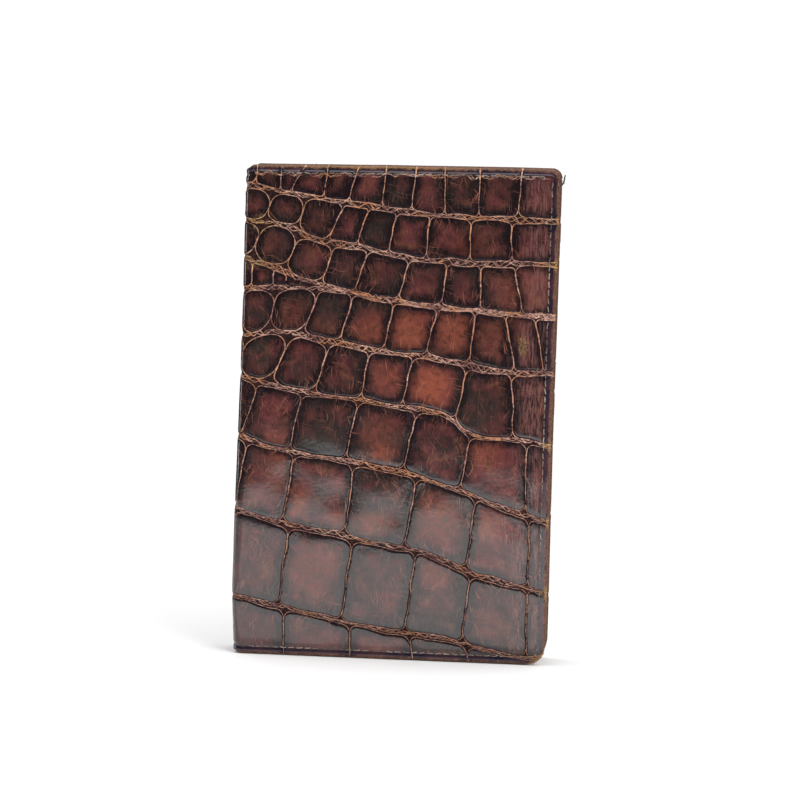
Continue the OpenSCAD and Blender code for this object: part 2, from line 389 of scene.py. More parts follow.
def relief(u, z, pattern_u):
    """Height of the hide's face at (u, z)."""
    gap = pattern(pattern_u, z)[0]
    # a scale rises in a quarter circle, then in a low crown
    x = np.clip(gap / SHOULDER_W, 0, 1)
    height = SCALE_H * np.sqrt(1 - (1 - x) ** 2)
    height = height + CROWN_H * (1 - np.exp(-np.maximum(gap, 0) / 3))
    # furrows sink and are crumpled, and scales are a little uneven
    height = height - FURROW_D * np.clip(-gap / SHOULDER_W, 0, 1)
    height = height + np.where(gap < 0, CRUMPLE_H * waves(pattern_u, z, 1.1, 21), 0)
    height = height + UNEVEN_H * waves(pattern_u, z, 11, 22) * np.clip(gap, 0, 1)
    # the seam is pressed in, and the hide is flatter outside it
    pressed = smooth(1 - (seam_gap(u, z) - 0.2) / 0.5)
    outside = smooth((edge_run(u, z) + SEAM_INSET - EDGE_R + 0.4) / 0.6)
    height = height * (1 - 0.45 * outside) * (1 - 0.4 * smooth(edge_run(u, z) / EDGE_R))
    return height - SEAM_D * pressed * (1 - outside * 0.3) - SCALE_H


# ------------ mesh building


def pattern_place(u, side):
    """Where u on the front or the back lies in the pattern, and the other way round."""
    return u if side == FRONT else 2 * MID_U - u


def surface(u, z, side):
    """The finished hide at (u, z), and the direction out of it."""
    point, out = skin_frame(u, z, side)
    height = relief(u, z, pattern_place(u, side))
    return point + out * height[..., None], out


def add_object(name, data):
    """An object in the scene, with a mesh, a light or a camera."""
    made = bpy.data.objects.new(name, data)
    bpy.context.scene.collection.objects.link(made)
    return made


TUBE_SIDES = 6
TUBE_FLATNESS = 0.7  # height of a worn line as a share of its width
WELD = 0.002  # vertices this close are joined


class Builder:
    """Collects vertices, faces and their materials for one mesh."""

    def __init__(self):
        self.points = []
        self.faces = []
        self.slots = []
        self.values = {}
        self.count = 0

    def add(self, points, faces, slot, **values):
        points = np.asarray(points, float).reshape(-1, 3)
        self.points.append(points)
        self.faces.append(np.asarray(faces, int).reshape(-1, 4) + self.count)
        self.slots.append(np.full(len(self.faces[-1]), slot))
        for name in set(self.values) | set(values):
            held = self.values.setdefault(name, [np.zeros(self.count)])
            held.append(np.broadcast_to(np.ravel(values.get(name, 0.0)), len(points)))
        self.count += len(points)

    def grid(self, points, slot, flip=False, closed=False, **values):
        """A grid of points, as (rows, columns, 3), closed in its columns if it is a tube."""
        rows, columns = points.shape[:2]
        index = np.arange(rows * columns).reshape(rows, columns)
        if closed:
            index = np.concatenate([index, index[:, :1]], axis=1)
        faces = np.stack([index[:-1, :-1], index[:-1, 1:], index[1:, 1:], index[1:, :-1]], axis=-1)
        faces = faces.reshape(-1, 4)
        self.add(points, faces[:, ::-1] if flip else faces, slot, **values)

    def tubes(self, centre, out, wide, high, slot, **values):
        """Tubes along lines of points, as (lines, points, 3), flattened along out."""
        along = unit(np.gradient(centre, axis=1))
        beside = unit(np.cross(along, out))
        up = np.cross(beside, along)
        turn = np.arange(TUBE_SIDES) * 2 * math.pi / TUBE_SIDES
        ring = (
            beside[..., None, :] * (np.cos(turn) * wide[..., None])[..., None]
            + up[..., None, :] * (np.sin(turn) * high[..., None])[..., None]
        )
        points = centre[..., None, :] + ring
        for k, line in enumerate(points):
            shared = {n: np.repeat(v[k], TUBE_SIDES) for n, v in values.items()}
            self.grid(line, slot, closed=True, **shared)

    def make(self, name, materials, weld=False):
        mesh = bpy.data.meshes.new(name)
        points = np.concatenate(self.points) * MM
        faces = np.concatenate(self.faces)
        mesh.from_pydata(points.tolist(), [], faces.tolist())
        for material in materials:
            mesh.materials.append(material)
        mesh.polygons.foreach_set("material_index", np.concatenate(self.slots).astype(np.int32))
        mesh.polygons.foreach_set("use_smooth", np.ones(len(faces), bool))
        for name_, held in self.values.items():
            attribute = mesh.attributes.new(name_, "FLOAT", "POINT")
            attribute.data.foreach_set("value", np.concatenate(held).astype(np.float32))
        mesh.validate()
        if weld:
            shape = bmesh.new()
            shape.from_mesh(mesh)
            bmesh.ops.remove_doubles(shape, verts=shape.verts, dist=WELD * MM)
            shape.to_mesh(mesh)
            shape.free()
        return add_object(name, mesh)


def runs(keep):
    """Start and end of each run of more than three True."""
    steps = np.flatnonzero(np.diff(np.concatenate([[0], keep.astype(int), [0]])))
    return [(a, b) for a, b in zip(steps[::2], steps[1::2]) if b - a > 3]


# ------------ the worn lines on the hide


OUTLINE_STEP = 0.35
LOW_ROWS = 6  # from this row down the lines are finer
OUTLINE_HALF = (0.08, 0.055)  # half the width of a scale's outline, above there and below
OUTLINE_LIFT = 0.09
STRAND_LIFT = 0.03
SMALL_SCALE = 3.2  # scales lower than this have no outline


def scale_outline(row, i):
    """Points round one scale, as (pattern u, z)."""
    left, right = ROWS[row][i], ROWS[row][i + 1]
    mid_u = (left[0] + right[0]) / 2
    width = right[0] - left[0]
    top, bottom = furrow(row, np.array(mid_u)), furrow(row + 1, np.array(mid_u))
    height = float(top - bottom)
    r = roundness(mid_u, row) * min(width, height)
    rx = min(r / (width - 2 * LINE_GAP), 0.5)
    rz = min(r / max(height - 1.2, 1), 0.5)
    count = int(2 * (width + height) / OUTLINE_STEP)
    # a rounded square, walked at an even pace
    turn = np.linspace(0, 2 * math.pi, 400)
    cx, cz = np.cos(turn), np.sin(turn)
    a = 0.5 + np.sign(cx) * np.clip(0.5 - rx + rx * np.abs(cx), 0, 0.5)
    b = 0.5 + np.sign(cz) * np.clip(0.5 - rz + rz * np.abs(cz), 0, 0.5)
    far = np.concatenate([[0], np.cumsum(np.hypot(np.diff(a) * width, np.diff(b) * height))])
    even = np.linspace(0, far[-1], count)
    a, b = np.interp(even, far, a), np.interp(even, far, b)
    z = bottom + height * b
    for _ in range(3):
        line_l = left[0] + left[1] * (z - left[2]) + LINE_GAP
        line_r = right[0] + right[1] * (z - right[2]) - LINE_GAP
        u = line_l + (line_r - line_l) * a
        low = furrow(row + 1, u) + furrow_half(row + 1, u)
        high = furrow(row, u) - furrow_half(row, u)
        z = low + (high - low) * b
    return u, z


def net_lines():
    """Every worn line of the pattern: its points, half its width and its height."""
    made = []
    for row, lines in enumerate(ROWS):
        for i in range(len(lines) - 1):
            mid = (lines[i][0] + lines[i + 1][0]) / 2
            room = float(furrow(row, np.array(mid)) - furrow(row + 1, np.array(mid)))
            if room > SMALL_SCALE:
                half = OUTLINE_HALF[row >= LOW_ROWS]
                made.append((*scale_outline(row, i), half, OUTLINE_LIFT))
    # strands that wind along the furrows
    for k in range(1, len(FURROWS) + 1):
        for strand in range(4):
            seeded = np.random.default_rng(200 + 10 * k + strand)
            u = np.arange(BACK_END, CASE_W + 3, 0.25)
            wander = 2.2 * waves(u, 0 * u, 13, 300 + 10 * k + strand)
            swing = np.sin(u * 2 * math.pi / seeded.uniform(2.6, 5.2) + wander + strand * 2.1)
            low = k >= LOW_ROWS
            rise = 0.35 if low else 0.12
            reach = 0.8 - 0.06 * strand if low else 1.0 - 0.08 * strand
            z = furrow(k, u) + furrow_half(k, u) * (rise + reach * swing)
            z = z + 0.12 * waves(u, z, 1.6, 400 + 10 * k + strand)
            made.append((u, z, seeded.uniform(0.03, 0.07), STRAND_LIFT))
    # frayed grain beside the seam along the top
    for strand in range(3):
        seeded = np.random.default_rng(500 + strand)
        u = np.arange(2, CASE_W - 2.5, 0.2)
        reach = 0.35 + 0.3 * waves(u, 0 * u, 5, 510 + strand)
        ragged = 0.25 * waves(u, 0 * u, 1.1, 520 + strand)
        swing = np.sin(u * 2 * math.pi / 4.3 + 4 * waves(u, 0 * u, 7, 530 + strand))
        z = CASE_H - SEAM_INSET - 0.25 + reach * swing + ragged
        made.append((u, z, seeded.uniform(0.03, 0.05), STRAND_LIFT))
    return made


# ------------ the hide


def stitch_places(*corners):
    """Middle and direction of each stitch on the lines between corners.

    The corners are (u, z) and the stitches (u, z, along u, along z). Where two lines meet,
    both leave room for the thread to turn.
    """
    made = []
    for k, (start, end) in enumerate(zip(corners, corners[1:])):
        way = unit(np.subtract(end, start))
        start = start + way * SEAM_TURN * (k > 0)
        length = np.hypot(*(end - start)) - SEAM_TURN * (k < len(corners) - 2)
        count = int(length / STITCH_PITCH)
        spare = (length - (count - 1) * STITCH_PITCH) / 2
        made += [(*(start + way * (spare + i * STITCH_PITCH)), *way) for i in range(count)]
    return np.array(made)


def add_stitches(builder, places, on_surface):
    """Twisted two-ply stitches at places on a surface, their ends sunk into it."""
    s = np.linspace(-0.5, 0.5, 11)
    seeded = np.random.default_rng(len(places))
    crooked = seeded.uniform(-0.12, 0.12, (len(places), 1))
    u = places[:, :1] + (places[:, 2:3] - crooked * places[:, 3:4]) * s * STITCH_L
    z = places[:, 1:2] + (places[:, 3:4] + crooked * places[:, 2:3]) * s * STITCH_L
    point, out = on_surface(u, z)
    beside = np.cross(unit(np.gradient(point, axis=1)), out)
    arch = STITCH_UP - (STITCH_UP + STITCH_SUNK) * np.abs(2 * s) ** 5
    for ply in (0, math.pi):
        turn = s * TWIST + ply + seeded.uniform(0, 6, (len(places), 1))
        centre = point + out * arch[None, :, None]
        centre = centre + beside * (np.cos(turn) * STITCH_W * PLY_OFF)[..., None]
        centre = centre + out * (np.sin(turn) * STITCH_W * PLY_OFF)[..., None]
        thick = np.full(turn.shape, STITCH_W * PLY_HALF)
        builder.tubes(centre, out, thick, thick, 0)


def patches(u, z, spots):
    """The sum of soft spots, each (pattern u, z, half width, half height, strength)."""
    total = 0 * u
    for at_u, at_z, half_u, half_z, strength in spots:
        off = np.hypot((u - at_u) / half_u, (z - at_z) / half_z)
        total = total + strength * smooth(1.35 - off)
    return total


# Scales whose finish is worn to a warm orange brown, or to a plain brown
WARM = [(43, 61.5, 4.5, 5, 1.0), (38, 73.5, 4.5, 5, 0.65), (47.5, 73.5, 4.5, 5, 0.62),
        (29, 73, 4, 5, 0.45), (43, 68, 3, 2, 0.3), (33, 62.5, 4, 4, 0.4), (55, 74, 4, 5, 0.25),
        (50, 93, 4, 4, 0.25), (55, 48, 5, 5, 0.35), (32, 50, 5, 5, 0.3), (62, 82, 4, 10, 0.3),
        (10, 40, 4, 5, 0.3), (45, 32, 5, 6, 0.3), (18, 20, 6, 6, 0.25), (14, 74, 5, 6, 0.2),
        (9, 47, 3.5, 4, 0.4), (32, 45, 3, 3, 0.5), (14, 35, 3, 5, 0.4), (31, 30, 4, 3, 0.4),
        (24, 31, 3, 2.5, 0.4), (45, 20, 4, 4, 0.35), (58, 33, 4, 5, 0.35)]
# Scales that have stayed dark
SHADED = [(19, 49, 5, 5.5, 1.0), (32, 49, 5.5, 5.5, 0.9), (18, 36, 5, 6, 0.6),
          (31, 35, 6.5, 7, 0.8), (4, 67, 4, 4, 0.9), (14, 65, 4, 4, 0.5), (33, 103, 4, 4, 0.8),
          (28, 94, 4, 4, 0.7), (53, 57, 5, 5, 0.8), (4, 77, 3.5, 3.5, 0.7), (20, 78, 5, 5, 0.7),
          (28, 62, 4, 4, 0.4), (45, 104, 4, 4, 0.5), (9, 96, 4, 4, 0.5), (24, 86, 4, 4, 0.8),
          (14, 86, 4.5, 4.5, 0.5), (33, 84, 4, 4, 0.4), (55, 83, 5, 4, 0.4), (46, 47, 4, 5, 0.4)]
# Places rubbed down to the golden grain
RUBBED = [(63, 71, 1.8, 4.5, 0.8), (14.7, 6.9, 4, 1.5, 0.5), (70, 49, 2.5, 1.5, 0.9),
          (70, 32, 2.5, 1.5, 0.9), (70, 16, 3, 2, 0.9), (69, 1, 3, 3, 0.8),
          (70, 89, 3, 1.5, 0.9), (69, 98.5, 3, 1.5, 0.6), (61, 99.5, 2, 1.2, 0.6),
          (4, 97, 5, 4, 0.7), (2, 88, 4, 3, 0.7), (1, 70, 3, 4, 0.4), (30, 110, 22, 2, 0.7),
          (7, 103, 4, 2, 0.4), (61, 80, 2, 4, 0.35), (43, 53, 2, 2, 0.4)]


HIDE_STEP = {FRONT: 0.27, BACK: 0.3}  # size of the hide's faces


def hide_piece(side, name, materials):
    """One half of the hide, from the middle of the spine to the turned-in free edges."""
    step = HIDE_STEP[side]
    past = math.pi * EDGE_R + TURNED_IN - EDGE_R
    us = np.linspace(MID_U, CASE_W + past, int((CASE_W + past - MID_U) / step))
    zs = np.linspace(-past, CASE_H + past, int((CASE_H + 2 * past) / step))
    u, z = np.meshgrid(us, zs)
    point = surface(u, z, side)[0]
    pu = pattern_place(u, side)
    gap, tone = pattern(pu, z)
    builder = Builder()
    builder.grid(
        point, 0, flip=side == BACK, gap=gap, tone=tone, edge=edge_run(u, z),
        seam=seam_gap(u, z), flat_u=pu, flat_z=z,
        warm=patches(pu, z, WARM), shaded=patches(pu, z, SHADED), rubbed=patches(pu, z, RUBBED),
    )
    # the worn lines on this half, up to the turn at its edges, as flattened tubes
    for k, (line_u, line_z, half_width, lift) in enumerate(net_lines()):
        shift_u, shift_z = ripple(line_u, line_z)
        line_u = line_u - shift_u
        line_z = line_z - shift_z
        my_u = pattern_place(line_u, side)
        keep = (my_u > MID_U - 0.1) & (edge_run(my_u, line_z) < 0.6 * math.pi * EDGE_R)
        for a, b in runs(keep):
            # each array is one line of points, as (1, points)
            u, z, pu = np.maximum(my_u[None, a:b], MID_U), line_z[None, a:b], line_u[None, a:b]
            base, up = surface(u, z, side)
            wide = half_width * (1 + 0.55 * waves(pu, z, 2.3, 500 + k % 40))
            raised = lift + 0.04 * waves(pu, z, 1.9, 600 + k % 40)
            builder.tubes(
                base + up * raised[..., None], up, wide, TUBE_FLATNESS * wide, 1,
                flat_u=pu, flat_z=z, rubbed=patches(pu, z, RUBBED),
            )
    return builder.make(name, materials)


SEAM_START = {FRONT: 3.4, BACK: 2.6}  # u of the edge seam's ends
# The loose end of the thread at the front's top free corner: its points as (x, z) from
# the corner, its depth, and half its thickness from one end to the other
LOOSE_END = np.array([(-1.4, -2.7), (-0.5, -3.0), (0.2, -2.9), (0.6, -2.4), (0.75, -1.8),
                      (0.8, -1.2), (0.95, -0.6)])
LOOSE_END_D = 0.55
LOOSE_END_HALF = (0.26, 0.14)


def inner_face(depth, side):
    """The inner face at a depth, for stitches: its point at (u, z) and the direction out."""

    def at(u, z):
        point = place(u, z, depth + 0 * u, side)
        return point, np.broadcast_to(np.array([0.0, -side, 0.0]), point.shape)

    return at


def seam_piece(side, name, materials):
    """The edge seam of one half, outside on the hide and inside on the lining."""
    builder = Builder()
    left, right = SEAM_START[side], CASE_W - SEAM_INSET
    bottom, top = SEAM_INSET, CASE_H - SEAM_INSET
    places = stitch_places((left, bottom), (right, bottom), (right, top), (left, top))
    add_stitches(builder, places, lambda u, z: surface(u, z, side))
    add_stitches(builder, places, inner_face(LINED_D, side))
    if side == FRONT:
        x = SPINE_X + CASE_W + LOOSE_END[:, 0]
        line = np.stack([x, 0 * x - OUTER_Y + LOOSE_END_D, CASE_H + LOOSE_END[:, 1]], axis=-1)
        thick = np.linspace(*LOOSE_END_HALF, len(line))[None]
        builder.tubes(line[None], np.array([0.0, -1.0, 0.0]), thick, thick, 1)
    return builder.make(name, materials)


# ------------ linings and pockets

PANEL_SEAM = 1.4  # distance from a pocket's edge to its seam
MOUTH_SEAM = 0.6  # and from its mouth to the seam's ends
SEAM_DEEP = 0.12  # the seam's stitches lie this far into the panel
GROOVE_D, GROOVE_HALF = 0.16, 0.5
MOUTH_LINE = 1.5  # a line is pressed in this far from a pocket's mouth
MOUTH_LINE_D, MOUTH_LINE_HALF = 0.09, 0.35
THUMB_R = 9  # half-moons in the mouths of two pockets
SHEET_STEP = 0.7
SHEET_CORNER_R = 1.0


def spaced(start, end, step, fine=()):
    """Numbers from start to end, a step apart and closer beside the places in fine."""
    made = list(np.linspace(start, end, max(2, round((end - start) / step) + 1)))
    for middle in fine:
        made += [middle + off for off in (-0.6, -0.4, -0.2, 0, 0.2, 0.4, 0.6)]
    made = np.sort([x for x in made if start <= x <= end])
    return made[np.concatenate([[True], np.diff(made) > 0.05])]


def round_off(u, z, low, high, r, left_too):
    """Moves the corners of a rectangular grid in to arcs."""
    off_u = np.minimum(high[0] - u, u - low[0]) if left_too else high[0] - u
    off_z = np.minimum(high[1] - z, z - low[1])
    a = np.clip(1 - off_u / r, 0, 1)
    b = np.clip(1 - off_z / r, 0, 1)
    shrink = np.where((a > 0) & (b > 0), np.maximum(a, b) / np.maximum(np.hypot(a, b), 1e-6), 1)
    way_u = np.where(u > (low[0] + high[0]) / 2, 1, -1)
    way_z = np.where(z > (low[1] + high[1]) / 2, 1, -1)
    return u - way_u * a * r * (1 - shrink), z - way_z * b * r * (1 - shrink)


def leather_sheet(name, side, low, high, depths, material, seam=None, thumb=False,
                  open_left=False, open_top=False):
    """A closed sheet with soft edges between two depths, from low to high as (u, z).

    Its inner face has a groove for a seam, so far from the edges, and a pressed line along
    its mouth, which is at the left or the top. A lining is open_left: it runs on round the
    crease to the middle of the spine, and has no mouth.
    """
    outer_d, inner_d = depths
    r = (inner_d - outer_d) / 2
    left = low[0] if open_left else low[0] + r
    seams_u = [] if seam is None else [low[0] + seam, high[0] - seam]
    seams_z = [] if seam is None else [low[1] + seam, high[1] - seam]
    us = spaced(left, high[0] - r, SHEET_STEP, seams_u)
    middle = (low[1] + high[1]) / 2
    if open_left:
        us = np.union1d(us, np.linspace(FOLD_U, FOLD_R, 12))
    if thumb:
        around = middle + THUMB_R * np.sin(np.linspace(-math.pi / 2, math.pi / 2, 29))
        below = spaced(low[1] + r, middle - THUMB_R - 0.3, SHEET_STEP, seams_z[:1])
        above = spaced(middle + THUMB_R + 0.3, high[1] - r, SHEET_STEP, seams_z[1:])
        zs = np.concatenate([below, around, above])
    else:
        zs = spaced(low[1] + r, high[1] - r, SHEET_STEP, seams_z)
    u, z = np.meshgrid(us, zs)
    mouth = np.sqrt(np.maximum(THUMB_R**2 - (z - middle) ** 2, 0)) if thumb else 0 * z
    u = u + mouth * (1 - (u - us[0]) / (us[-1] - us[0]))
    inner_low, inner_high = (left, low[1] + r), (high[0] - r, high[1] - r)
    u, z = round_off(u, z, inner_low, inner_high, SHEET_CORNER_R, not open_left)

    off_left = u - us[0] - mouth
    off_right = high[0] - r - u
    off_top = high[1] - r - z
    off_bottom = z - low[1] - r
    if open_top:
        off_mouth, sides = off_top, [off_left, off_right, off_bottom]
    else:
        off_mouth, sides = off_left, [off_right, off_top, off_bottom]
    sewn = np.minimum.reduce(sides)
    border = sewn if open_left else np.minimum(sewn, off_mouth)
    height = 0.05 * waves(u, z, 23, len(name)) * smooth(border / 3)
    if seam is not None:
        height = height - GROOVE_D * smooth(1 - np.abs(sewn + r - seam) / GROOVE_HALF)
    if not open_left:
        pressed = smooth(1 - np.abs(off_mouth - MOUTH_LINE) / MOUTH_LINE_HALF)
        height = height - MOUTH_LINE_D * pressed * smooth(sewn / 2)
    cut_from = 0 if open_left else 40 * outer_d  # each pocket has its own piece of the skin
    shared = {"border": border, "flat_u": u + cut_from, "flat_z": z}
    builder = Builder()
    builder.grid(place(u, z, inner_d + height, side), 0, flip=side == FRONT, **shared)
    builder.grid(place(u, z, outer_d + 0 * u, side), 0, flip=side == BACK, **shared)

    # the edge: half circles round the rim, from the inner face to the outer one
    index = np.arange(u.size).reshape(u.shape)
    loop = [*index[0], *index[1:, -1], *index[-1, -2::-1]]
    if not open_left:
        loop += [*index[-2::-1, 0]]
    lu, lz = u.ravel()[loop], z.ravel()[loop]
    if open_left:
        along_u, along_z = np.gradient(lu), np.gradient(lz)
    else:
        # the last point is the first one again
        rings = [np.roll(v[:-1], -1) - np.roll(v[:-1], 1) for v in (lu, lz)]
        along_u, along_z = (np.append(ring, ring[0]) for ring in rings)
    size = np.maximum(np.hypot(along_u, along_z), 1e-9)
    out_u, out_z = along_z / size, -along_u / size
    turn = np.linspace(0, math.pi, 7)[:, None]
    edge_u = lu + out_u * r * np.sin(turn)
    edge_z = lz + out_z * r * np.sin(turn)
    edge_d = inner_d - r * (1 - np.cos(turn)) + height.ravel()[loop] * np.cos(turn / 2)
    builder.grid(
        place(edge_u, edge_z, edge_d, side), 0, flip=side == BACK,
        border=-r * np.sin(turn) + 0 * edge_u, flat_u=edge_u + cut_from, flat_z=edge_z,
    )
    return builder.make(name, [material], weld=True)


def soften(points):
    """Cuts the corners of an open line of points, three times over."""
    for _ in range(3):
        near = points[:-1] * 0.75 + points[1:] * 0.25
        far = points[:-1] * 0.25 + points[1:] * 0.75
        points = np.concatenate([points[:1], np.stack([near, far], 1).reshape(-1, 2), points[-1:]])
    return points


GUSSET_HALF = 0.22  # half the thickness of its leather
GUSSET_OFF = 0.28  # its middle's distance from the lining and from the panel


def gusset_piece(name, which, low, high, depths, material):
    """One side of the card pocket's bellows, as a folded strip between lining and panel."""
    shallow, deep = depths
    # the fold's section, as (depth, distance from the pocket's edge)
    middle = (shallow + deep) / 2
    fold = np.array([
        (shallow + GUSSET_OFF, 0.4), (shallow + GUSSET_OFF, 2.4), (shallow + 1.2, 2.9),
        (middle, 1.4),
        (deep - 1.2, 2.9), (deep - GUSSET_OFF, 2.4), (deep - GUSSET_OFF, 0.4),
    ])
    line = soften(fold)
    along = unit(np.gradient(line, axis=0))
    normal = np.stack([-along[:, 1], along[:, 0]], axis=1)
    loop = np.concatenate([line + normal * GUSSET_HALF, (line - normal * GUSSET_HALF)[::-1]])
    depth, inset = loop[:, 0], loop[:, 1]
    share = np.linspace(0, 1, 60)[:, None]
    if which == "side":
        start, end = low[1] + inset, high[1] - inset
        z = start + (end - start) * share
        u = high[0] - inset + 0 * share
        off_mitre = np.minimum(z - start, end - z)
    else:
        u = low[0] + (high[0] - inset - low[0]) * share
        z = (high[1] - inset if which == "top" else low[1] + inset) + 0 * share
        off_mitre = high[0] - inset - u
    wave = 0.15 * waves(u + z, depth + 0 * u, 14, len(name)) * smooth((inset - 1) / 1.5)
    wave = wave * smooth(off_mitre / 5)
    points = place(u, z, depth + wave, BACK)
    shared = {"border": 1.5 + 0 * u, "flat_u": u + depth, "flat_z": z + depth}
    builder = Builder()
    builder.grid(points, 0, closed=True, flip=which != "top", **shared)
    half = points.shape[1] // 2
    for end, flip in ((0, which == "top"), (-1, which != "top")):
        cap = np.stack([points[end, :half], points[end, :half - 1:-1]])
        builder.grid(cap, 0, flip=flip, border=np.full(cap.shape[:2], 1.5))
    return builder.make(name, [material])


# ------------ materials


def arithmetic(operation):
    """A method that adds a Math node for two values."""

    def method(self, a, b, clamp=False):
        return self.add("Math", {0: a, 1: b}, operation=operation, use_clamp=clamp)

    return method


class Nodes:
    """A node tree, with short ways to add the usual nodes."""

    plus = arithmetic("ADD")
    minus = arithmetic("SUBTRACT")
    times = arithmetic("MULTIPLY")
    most = arithmetic("MAXIMUM")
    least = arithmetic("MINIMUM")

    def __init__(self, tree):
        self.tree = tree

    def add(self, kind, inputs=(), output=0, **settings):
        """Adds a node and gives its output, or the node itself if output is None."""
        node = self.tree.nodes.new("ShaderNode" + kind)
        for key, value in settings.items():
            setattr(node, key, value)
        for key, value in dict(inputs).items():
            self.set(node.inputs[key], value)
        return node if output is None else node.outputs[output]

    def set(self, socket, value):
        if isinstance(value, bpy.types.NodeSocket):
            self.tree.links.new(value, socket)
        elif hasattr(value, "__len__") and len(value) == 3 and socket.type == "RGBA":
            socket.default_value = (*value, 1)
        else:
            socket.default_value = value

    def total(self, *terms):
        """The sum of some values, each given with its weight."""
        whole = 0.0
        for value, weight in terms:
            whole = self.add("Math", {0: value, 1: weight, 2: whole}, operation="MULTIPLY_ADD")
        return whole

    def span(self, value, low, high, to_low=0.0, to_high=1.0):
        """The value mapped smoothly from low..high to to_low..to_high."""
        return self.add(
            "MapRange",
            {"Value": value, "From Min": low, "From Max": high, "To Min": to_low,
             "To Max": to_high},
            interpolation_type="SMOOTHSTEP",
        )


class Material(Nodes):
    """A material's nodes."""

    def __init__(self, name, **uniform):
        self.material = bpy.data.materials.new(name)
        self.material.use_nodes = True
        super().__init__(self.material.node_tree)
        self.to_shader(**uniform)

    def to_shader(self, **sockets):
        for key, value in sockets.items():
            self.set(self.tree.nodes["Principled BSDF"].inputs[key.replace("_", " ")], value)

    def attribute(self, name):
        return self.add("Attribute", output="Fac", attribute_name=name)

    def flat(self):
        """The place on the unrolled leather, in millimetres."""
        return self.add(
            "CombineXYZ", {"X": self.attribute("flat_u"), "Y": self.attribute("flat_z")}
        )

    def noise(self, at, scale, detail=3.0, roughness=0.55, distortion=0.0, output=0):
        return self.add(
            "TexNoise",
            {"Vector": at, "Scale": scale, "Detail": detail, "Roughness": roughness,
             "Distortion": distortion},
            output=output,
        )

    def stretch(self, at, scale, turn=0.0, kind="POINT"):
        """The place scaled and turned, or for the kind TEXTURE, as if the texture were."""
        return self.add(
            "Mapping", {"Vector": at, "Scale": scale, "Rotation": (0, 0, turn)}, vector_type=kind
        )

    def mix(self, share, a, b):
        return self.add("Mix", {"Factor": share, 6: a, 7: b}, output=2, data_type="RGBA")

    def layers(self, colour, *coats):
        """The colour under coats, each a share and a colour."""
        for share, coat in coats:
            colour = self.mix(share, colour, coat)
        return colour

    def bump(self, height, strength, distance):
        return self.add(
            "Bump", {"Height": height, "Strength": strength, "Distance": distance * MM}
        )


def scratched(m, at, colour):
    """The colour under fine scratches that lie in groups and four directions."""
    swirl = m.noise(at, 0.16, 2.0, 0.5, output="Color")
    swirl = m.add("VectorMath", {0: swirl, "Scale": 3.0}, operation="SCALE")
    wander = m.add("VectorMath", {0: at, 1: swirl}, operation="ADD")
    for turn, strength in ((0.1, 0.6), (0.6, 0.55), (-0.45, 0.6), (1.4, 0.4)):
        line = m.noise(m.stretch(wander, (0.16, 5.0, 1), turn, "TEXTURE"), 1.0, 1, 0.4)
        group = m.noise(m.stretch(at, (0.15, 0.15, 1), turn + 2), 1.0, 1)
        scratch = m.times(m.span(line, 0.66, 0.72, 0, strength), m.span(group, 0.5, 0.6))
        colour = m.mix(scratch, colour, (0.26, 0.095, 0.062))
    return colour


